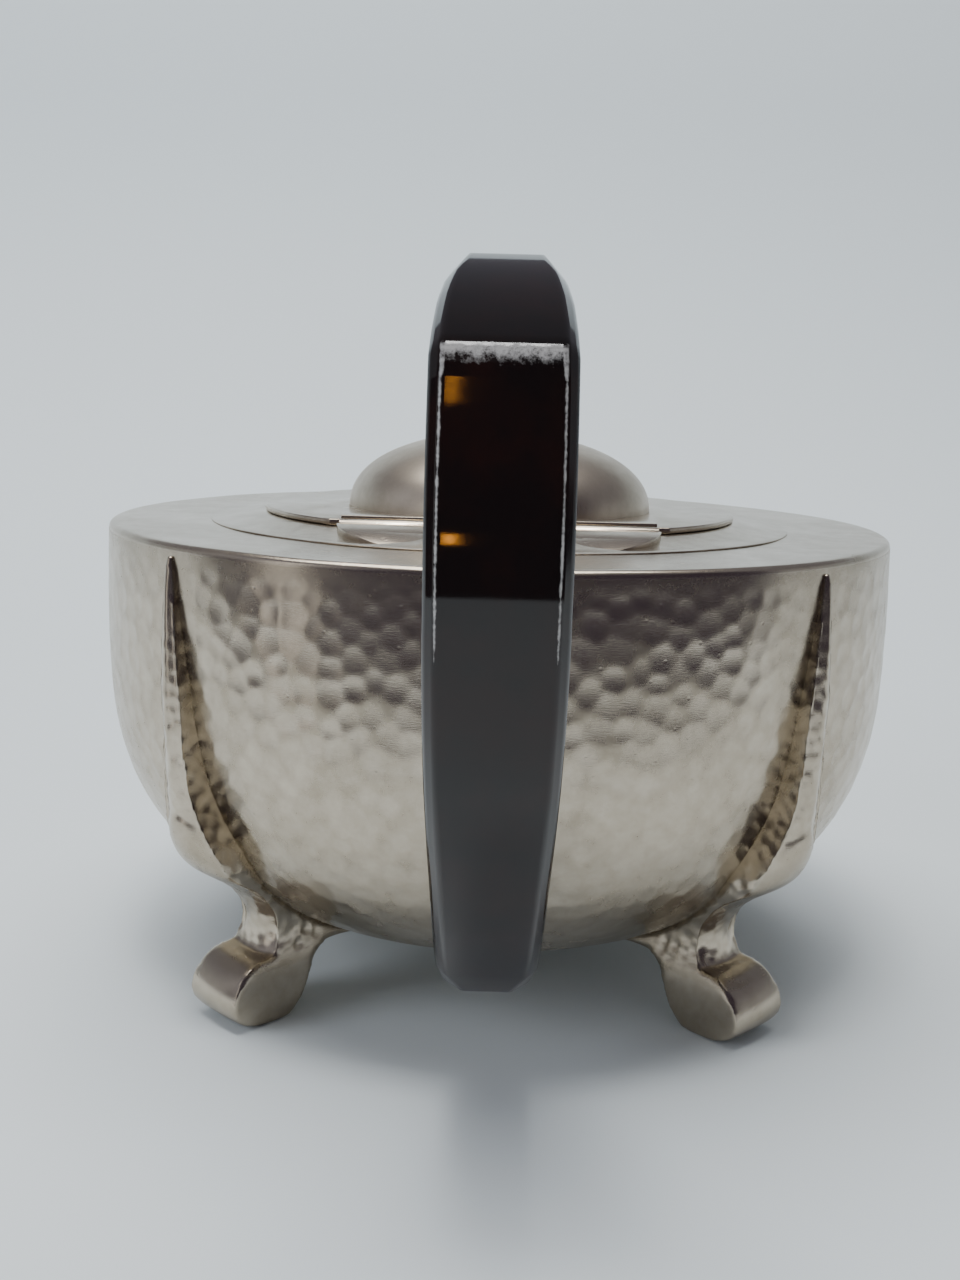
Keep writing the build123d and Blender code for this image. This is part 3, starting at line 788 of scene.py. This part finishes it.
def make_leg(node, marks, turn, chance):
    """A cast leg: crowned spine, oval boss, ankle and block foot, hammered on spine and ankle."""
    grid, into_bowl, contact = 0.42 * MM, 1.1 * MM, 0.8 * MM
    foot_crown, more_crown, least_half = 0.5 * MM, 1.0 * MM, 1.2 * MM
    foot_top, boss_height = 9 * MM, 27.5 * MM
    boss_proud, boss_wide, boss_tall = 1.0 * MM, 5.6 * MM, 7.5 * MM
    bm = merged_copy(node)
    turn_about_z(bm, -turn)
    even_mesh(bm, grid)
    for v in bm.verts:
        if v.normal.x < 0 and v.co.z > 12 * MM:
            v.co.x += into_bowl * v.normal.x

    widths = {}
    for v in bm.verts:
        level = int(v.co.z / MM)
        widths[level] = max(widths.get(level, 0.0), abs(v.co.y))
    for v in bm.verts:
        level = int(v.co.z / MM)
        half = max(least_half, 0.5 * (widths[level] + widths.get(level + 1, widths[level])))
        outward = max(0.0, v.normal.x)
        crown = foot_crown + more_crown * ramp(v.co.z, foot_top, 14 * MM)
        v.co.x -= crown * outward * min(1.0, (v.co.y / half) ** 2)
        boss = 1 - (v.co.y / boss_wide) ** 2 - ((v.co.z - boss_height) / boss_tall) ** 2
        v.co.x += boss_proud * outward * math.sqrt(max(0.0, boss))
    for _ in range(5):
        bmesh.ops.smooth_vert(
            bm, verts=bm.verts, factor=0.5, use_axis_x=True, use_axis_y=True, use_axis_z=True
        )
    bm.normal_update()

    def blow(place):
        """How hard a place is struck: not on the boss, the foot, the tip or inside the bowl."""
        boss = math.hypot(place.y / (5.4 * MM), (place.z - boss_height) / (7.2 * MM))
        on_boss = ramp(boss, 0.95, 1.2)
        foot = ramp(place.z, 9.5 * MM, 12 * MM)
        tip = 1 - ramp(place.z, 56 * MM, 70 * MM)
        return on_boss * foot * tip * ramp(place.x, 40 * MM, 46 * MM)

    def on_face(v):
        """Whether a point is above the foot and outside the bowl."""
        return v.co.z > foot_top and v.co.x > 40 * MM

    hammer(bm, on_face, marks.leg_pitch, marks.leg_reach, marks.leg_depth, chance, blow)
    lowest = min(v.co.z for v in bm.verts)
    for v in bm.verts:
        if v.co.z < lowest + contact:
            v.co.z -= lowest * (1 - ramp(v.co.z - lowest, 0.0, contact))
    turn_about_z(bm, turn)
    return bm


def side_outline(node):
    """A node's outline in the plane through Y and Z: the longest loop of its middle section."""
    bm = merged_copy(node)
    bmesh.ops.bisect_plane(
        bm,
        geom=bm.verts[:] + bm.edges[:] + bm.faces[:],
        plane_co=(0, 0, 0),
        plane_no=(1, 0, 0),
        clear_inner=True,
        clear_outer=True,
    )
    bmesh.ops.remove_doubles(bm, verts=bm.verts, dist=10 * WELD)
    loops, left = [], set(bm.verts)
    while left:
        loop = [left.pop()]
        while True:
            ahead = [e.other_vert(loop[-1]) for e in loop[-1].link_edges]
            ahead = [v for v in ahead if v in left]
            if not ahead:
                break
            loop.append(ahead[0])
            left.discard(ahead[0])
        loops.append(loop)

    def around(loop):
        """The length of a loop."""
        return sum((a.co - b.co).length for a, b in zip(loop, loop[1:]))

    longest = max(loops, key=around)
    bmesh.ops.delete(bm, geom=[v for v in bm.verts if v not in set(longest)], context="VERTS")
    bm.faces.new(longest)
    return bm


def between(knots, value):
    """A straight-line value between knots of (place, value)."""
    if value <= knots[0][0]:
        return knots[0][1]
    for (a, low), (b, high) in zip(knots, knots[1:]):
        if value <= b:
            return low + (high - low) * (value - a) / (b - a)
    return knots[-1][1]


def handle_widths():
    """A function that gives half the handle's width at a place in its side view.

    It is narrow at the tip, at the arm and at the tenons in the two sockets.
    """
    low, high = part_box("handle_back")
    full = high.x
    seat = top_of("upper_socket_back")
    pin = sum(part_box("lower_pin_back"), Vector()) / 2
    lean = math.radians(35)
    way_in = Vector((0, -math.cos(lean), math.sin(lean)))
    upper_tenon, upper_depth, arm_reach = 4.3 * MM, 16 * MM, 30 * MM
    lower_tenon, lower_reach, lower_start = 3.3 * MM, 6 * MM, -1.5 * MM
    # Millimetres above the lowest point, and behind the rearmost, with shares of the full width.
    by_height = (
        (0, 0.5),
        (0.8, 0.67),
        (2.5, 0.85),
        (5, 0.9),
        (8, 0.92),
        (22, 0.945),
        (38, 0.99),
        (46, 1.0),
    )
    by_reach = ((-27.6, 0.735), (-24, 0.8), (-20, 0.88), (-14, 0.95), (-8, 0.98), (0, 1.0))

    def half(place):
        """Half the width at a place."""
        in_lower = place.y < pin.y + lower_reach and (place - pin).dot(way_in) > lower_start
        if place.z < seat - upper_depth and in_lower:
            return lower_tenon
        at_seat = seat - upper_depth < place.z < seat + 0.05 * MM
        if at_seat and place.y < high.y - arm_reach:
            return upper_tenon
        wide = full * between(by_height, (place.z - low.z) / MM)
        if place.z > seat:
            wide = min(wide, full * between(by_reach, (place.y - high.y) / MM))
        return wide

    return half


def make_handle(handle, turn):
    """A handle sawn from sheet, with filed chamfers whose edges have worn pale.

    Half of it is raised from its side outline by extruding and insetting, and the half is mirrored.
    """
    near_corner, wear_ends = 0.4 * MM, (69 * MM, 73 * MM)
    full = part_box("handle_back")[1].x
    half = handle_widths()
    bm = side_outline("handle_back")
    corner = max((v.co.copy() for v in bm.verts), key=lambda co: co.y + co.z)
    wear = bm.verts.layers.float.new("wear")
    cap = bm.faces[:][0]
    cap.normal_update()
    if cap.normal.x < 0:
        cap.normal_flip()
    cut, edge = handle.chamfer, handle.wear
    for rise, inset, worn in (
        (full - cut - edge, 0.0, 0.0),
        (edge, 0.0, 1.0),
        (0.3 * cut, 0.3 * cut, 0.0),
        (0.4 * cut, 0.4 * cut, 0.0),
        (0.3 * cut, 0.3 * cut, 0.6),
        (0.0, edge, 0.0),
    ):
        if inset:
            bmesh.ops.inset_region(
                bm, faces=[cap], thickness=inset, depth=0.0, use_even_offset=True
            )
        else:
            cap = bmesh.ops.extrude_discrete_faces(bm, faces=[cap])["faces"][0]
        bmesh.ops.translate(bm, verts=cap.verts, vec=(rise, 0, 0))
        for v in cap.verts:
            v[wear] = worn
    bmesh.ops.triangulate(bm, faces=[cap])
    for v in bm.verts:
        if v.co.x > 0.4 * full:
            v.co.x -= full - half(v.co)
        if abs(v.co.y - corner.y) + abs(v.co.z - corner.z) < near_corner:
            v[wear] = 1.0
        elif v.co.z > corner.z:
            v[wear] = 0.0
        else:
            v[wear] *= ramp(v.co.z, *wear_ends)
    middle = [f for f in bm.faces if f.calc_center_median().x < WELD]
    bmesh.ops.delete(bm, geom=middle, context="FACES")
    everything = bm.verts[:] + bm.edges[:] + bm.faces[:]
    bmesh.ops.mirror(bm, geom=everything, axis="X", merge_dist=WELD)
    bmesh.ops.remove_doubles(bm, verts=bm.verts, dist=WELD)
    bmesh.ops.recalc_face_normals(bm, faces=bm.faces)
    turn_about_z(bm, turn)
    return bm


class SUGARBOWL_OT_bowl(bpy.types.Operator):
    """Adds the four hammered lobes and the shoulder plate"""

    bl_idname = "sugar_bowl.bowl"
    bl_label = "Bowl"

    def execute(self, context):
        body, marks = context.scene.sugar_body, context.scene.sugar_marks
        chance = random.Random(marks.seed)
        for i, side in enumerate(("right", "back", "left", "front")):
            lobe = make_lobe(body, marks, i * math.pi / 2, chance)
            finished(lobe, f"bowl_lobe_{side}", "hammered", "pot", "bowl", sharp=60)
        finished(make_shoulder(body), "shoulder_ring", "spun", "pot", "shoulder_plate")
        return {"FINISHED"}


class SUGARBOWL_OT_legs(bpy.types.Operator):
    """Adds the four cast legs"""

    bl_idname = "sugar_bowl.legs"
    bl_label = "Legs"

    def execute(self, context):
        marks = context.scene.sugar_marks
        chance = random.Random(marks.seed + 1)
        for corner, turn in CORNERS.items():
            node = f"leg_{corner}"
            leg = make_leg(node, marks, math.radians(turn), chance)
            finished(leg, f"cast_{node}", "cast", "pot", node, sharp=180)
        return {"FINISHED"}


class SUGARBOWL_OT_neck(bpy.types.Operator):
    """Adds the collar round the opening and the fixed half of the hinge"""

    bl_idname = "sugar_bowl.neck"
    bl_label = "Neck"

    def execute(self, context):
        for node, width in (("neck_collar", 0.12), ("hinge_apron", 0.16)):
            bm = softened(merged_copy(node), width * MM)
            finished(bm, f"{node}_soft", "spun", "pot", node)
        frame["nodes"]["hinge_pin"].material_slots[0].material = material("steel")
        return {"FINISHED"}


class SUGARBOWL_OT_handles(bpy.types.Operator):
    """Adds both handles, with the sockets and rivets that hold them"""

    bl_idname = "sugar_bowl.handles"
    bl_label = "Handles"

    def execute(self, context):
        for side, turn in (("front", math.pi), ("back", 0.0)):
            bm = make_handle(context.scene.sugar_handle, turn)
            node = f"handle_{side}"
            finished(bm, f"grip_{side}", "plastic", "pot", node, sharp=25)
            for place in ("upper", "lower"):
                for kind, piece, finish, slot, width in (
                    ("socket", "cup", "cast", "pewter", 0.6),
                    ("pin", "rivet", "steel", "steel", 0.2),
                ):
                    node = f"{place}_{kind}_{side}"
                    bm = softened(merged_copy(node), width * MM)
                    finished(bm, f"{place}_{piece}_{side}", finish, "pot", node)
        return {"FINISHED"}


class SUGARBOWL_OT_lid(bpy.types.Operator):
    """Adds the hinged lid with its knob"""

    bl_idname = "sugar_bowl.lid"
    bl_label = "Lid"

    def execute(self, context):
        finished(make_dome(), "dome", "handled", "lid", "lid_dome")
        for node, width in (("lid_plate", 0.2), ("lid_hinge", 0.16), ("lid_bezel", 0.15)):
            bm = softened(merged_copy(node), width * MM)
            finished(bm, f"{node}_soft", "spun", "lid", node)
        finished(make_knob(), "button_knob", "plastic", "lid", "knob")
        fixings = {"knob_washer": "spun", "knob_stud": "steel", "knob_nut": "steel"}
        for node, finish in fixings.items():
            frame["nodes"][node].material_slots[0].material = material(finish)
        return {"FINISHED"}


def staged(name, bm, surface):
    """Adds a bmesh to the stage."""
    mesh = bpy.data.meshes.new(name)
    bm.to_mesh(mesh)
    bm.free()
    mesh.materials.append(surface)
    thing = bpy.data.objects.new(name, mesh)
    bpy.context.scene.collection.objects.link(thing)
    return thing


def lay_paper():
    """Paper that lies under the bowl and bends up behind it."""
    wall, bend, top = 0.55, 0.25, 0.42
    front, side = -1.6, 1.8
    bm = bmesh.new()
    rise = [(wall - bend + x, bend + z) for x, z in arc((0, 0), bend, -90, 0, 16)]
    points = [(front, 0.0)] + rise + [(wall, top)]
    verts = [bm.verts.new((-side, y, z)) for y, z in points]
    edges = [bm.edges.new(pair) for pair in zip(verts, verts[1:])]
    swept = bmesh.ops.extrude_edge_only(bm, edges=edges)
    moved = [v for v in swept["geom"] if isinstance(v, bmesh.types.BMVert)]
    bmesh.ops.translate(bm, verts=moved, vec=(2 * side, 0, 0))
    bmesh.ops.recalc_face_normals(bm, faces=bm.faces)
    staged("paper_sweep", bm, material("paper")).data.shade_smooth()


def fill_room():
    """A room that is paler near the table, with a plain pale backdrop for the camera."""
    table, ceiling, backdrop = "a9acb2", "77767f", "c3cdd1"
    world = bpy.data.worlds.new("Room")
    bpy.context.scene.world = world
    world.use_nodes = True
    tree = world.node_tree
    tree.nodes.clear()
    output = add_node(tree, "ShaderNodeOutputWorld")
    way = add_node(tree, "ShaderNodeTexCoord").outputs["Generated"]
    parts = add_node(tree, "ShaderNodeSeparateXYZ", {"Vector": way})
    height = add_node(
        tree,
        "ShaderNodeMapRange",
        {"Value": parts.outputs["Z"], "From Min": 0.0, "From Max": 0.55},
        interpolation_type="SMOOTHSTEP",
    )
    room = add_node(
        tree,
        "ShaderNodeMix",
        {"Factor": height.outputs["Result"], "A": linear(table), "B": linear(ceiling)},
        data_type="RGBA",
    )
    seen = add_node(tree, "ShaderNodeLightPath").outputs["Is Camera Ray"]
    tint = add_node(
        tree,
        "ShaderNodeMix",
        {"Factor": seen, "A": room.outputs["Result"], "B": linear(backdrop)},
        data_type="RGBA",
    )
    background = add_node(tree, "ShaderNodeBackground", {"Color": tint.outputs["Result"]})
    tree.links.new(background.outputs["Background"], output.inputs["Surface"])


def stand_cards():
    """Curved cards in front of the bowl that only its reflections show."""
    for name, start, end, reach, tall, code, strength in (
        ("dark_screen", -78, 72, 0.285, 0.34, "5a5064", 0.55),
        ("window_pane", -58, -48, 0.28, 0.2, "ffffff", 1.0),
    ):
        bm = bmesh.new()
        foot = bm.verts.new((0, -reach, 0.0))
        head = bm.verts.new((0, -reach, tall))
        bm.edges.new((foot, head))
        turn_about_z(bm, math.radians(start))
        spin_about_z(bm, math.radians(end - start), 24, closed=False)
        surface, tree, output = new_material(f"Card, {name}")
        shine = {"Color": linear(code), "Strength": strength}
        glow = add_node(tree, "ShaderNodeEmission", shine)
        tree.links.new(glow.outputs["Emission"], output.inputs["Surface"])
        card = staged(name, bm, surface)
        card.visible_camera = False
        card.visible_diffuse = False
        card.visible_shadow = False


def handle_group(name, state):
    """A light's list of the two handles: INCLUDE lights only them, EXCLUDE all but them."""
    group = bpy.data.collections.new(name)
    for side in ("front", "back"):
        group.objects.link(bpy.data.objects[f"grip_{side}"])
    for item in group.collection_objects:
        item.light_linking.link_state = state
    return group


def hang_lights():
    """A ceiling light, a skylight, a window, and two small lamps that only the handles show."""
    aim = Vector((0, 0, 0.05))
    shaded = handle_group("Kept out of the overhead light", "EXCLUDE")
    reached = handle_group("Reached by the lamps", "INCLUDE")
    for name, place, size, watts, code, group in (
        ("overhead", (-0.1, 0.1, 1.2), (1.0, 1.0), 15.0, "ffffff", shaded),
        ("skylight", (-0.05, -0.2, 1.0), (0.2, 0.2), 3.0, "ffffff", None),
        ("left_window", (-1.0, -0.5, 0.6), (0.6, 0.6), 5.0, "eef3ff", None),
        ("lamp_low", (-0.0101, -0.262, 0.069), (0.002, 0.009), 0.0022, "ffa53a", reached),
        ("lamp_high", (-0.0111, -0.262, 0.18), (0.0012, 0.03), 0.0026, "ffa53a", reached),
    ):
        light = bpy.data.lights.new(name, "AREA")
        light.shape = "RECTANGLE"
        light.size, light.size_y = size
        light.energy = watts
        light.color = linear(code)[:3]
        lamp = bpy.data.objects.new(name, light)
        bpy.context.scene.collection.objects.link(lamp)
        lamp.location = place
        lamp.rotation_euler = (Vector(place) - aim).to_track_quat("Z", "Y").to_euler()
        lamp.visible_camera = False
        if group:
            lamp.light_linking.receiver_collection = group


def set_camera():
    """The camera: close in front of a handle, a little above the lid."""
    down, right, roll = math.radians(10.5), 0.0105, math.radians(1.5)
    view = bpy.data.cameras.new("camera")
    view.lens = 38.98
    view.sensor_width = 36.0
    camera = bpy.data.objects.new("camera", view)
    bpy.context.scene.collection.objects.link(camera)
    camera.location = (-0.0002, -0.2405, 0.0983)
    turn = Matrix.Rotation(right, 3, "Z")
    tilt = Matrix.Rotation(math.radians(90) - down, 3, "X")
    camera.rotation_euler = (turn @ tilt @ Matrix.Rotation(roll, 3, "Z")).to_euler()
    bpy.context.scene.camera = camera


class SUGARBOWL_OT_stage(bpy.types.Operator):
    """Adds the floor, the light and the camera"""

    bl_idname = "sugar_bowl.stage"
    bl_label = "Stage"

    def execute(self, context):
        lay_paper()
        fill_room()
        stand_cards()
        hang_lights()
        set_camera()
        return {"FINISHED"}


OPERATORS = (
    SUGARBOWL_OT_bowl,
    SUGARBOWL_OT_legs,
    SUGARBOWL_OT_neck,
    SUGARBOWL_OT_handles,
    SUGARBOWL_OT_lid,
    SUGARBOWL_OT_stage,
)


class SUGARBOWL_PT_pieces(bpy.types.Panel):
    """Lists the operators of the sugar bowl"""

    bl_idname = "SUGARBOWL_PT_pieces"
    bl_label = "Sugar Bowl"
    bl_space_type = "VIEW_3D"
    bl_region_type = "UI"
    bl_category = "Sugar Bowl"

    def draw(self, context):
        for name, group in GROUPS.items():
            box = self.layout.box()
            for prop in group.__annotations__:
                box.prop(getattr(context.scene, name), prop)
        for operator in OPERATORS:
            self.layout.operator(operator.bl_idname)


CLASSES = (*GROUPS.values(), *OPERATORS, SUGARBOWL_PT_pieces)


def register():
    for cls in CLASSES:
        bpy.utils.register_class(cls)
    for name, group in GROUPS.items():
        setattr(bpy.types.Scene, name, PointerProperty(type=group))


def unregister():
    for name in GROUPS:
        delattr(bpy.types.Scene, name)
    for cls in reversed(CLASSES):
        bpy.utils.unregister_class(cls)


def main():
    register()
    bpy.ops.sugar_bowl.bowl()
    bpy.ops.sugar_bowl.legs()
    bpy.ops.sugar_bowl.neck()
    bpy.ops.sugar_bowl.handles()
    bpy.ops.sugar_bowl.lid()
    bpy.ops.sugar_bowl.stage()


if __name__ == "__main__":
    main()
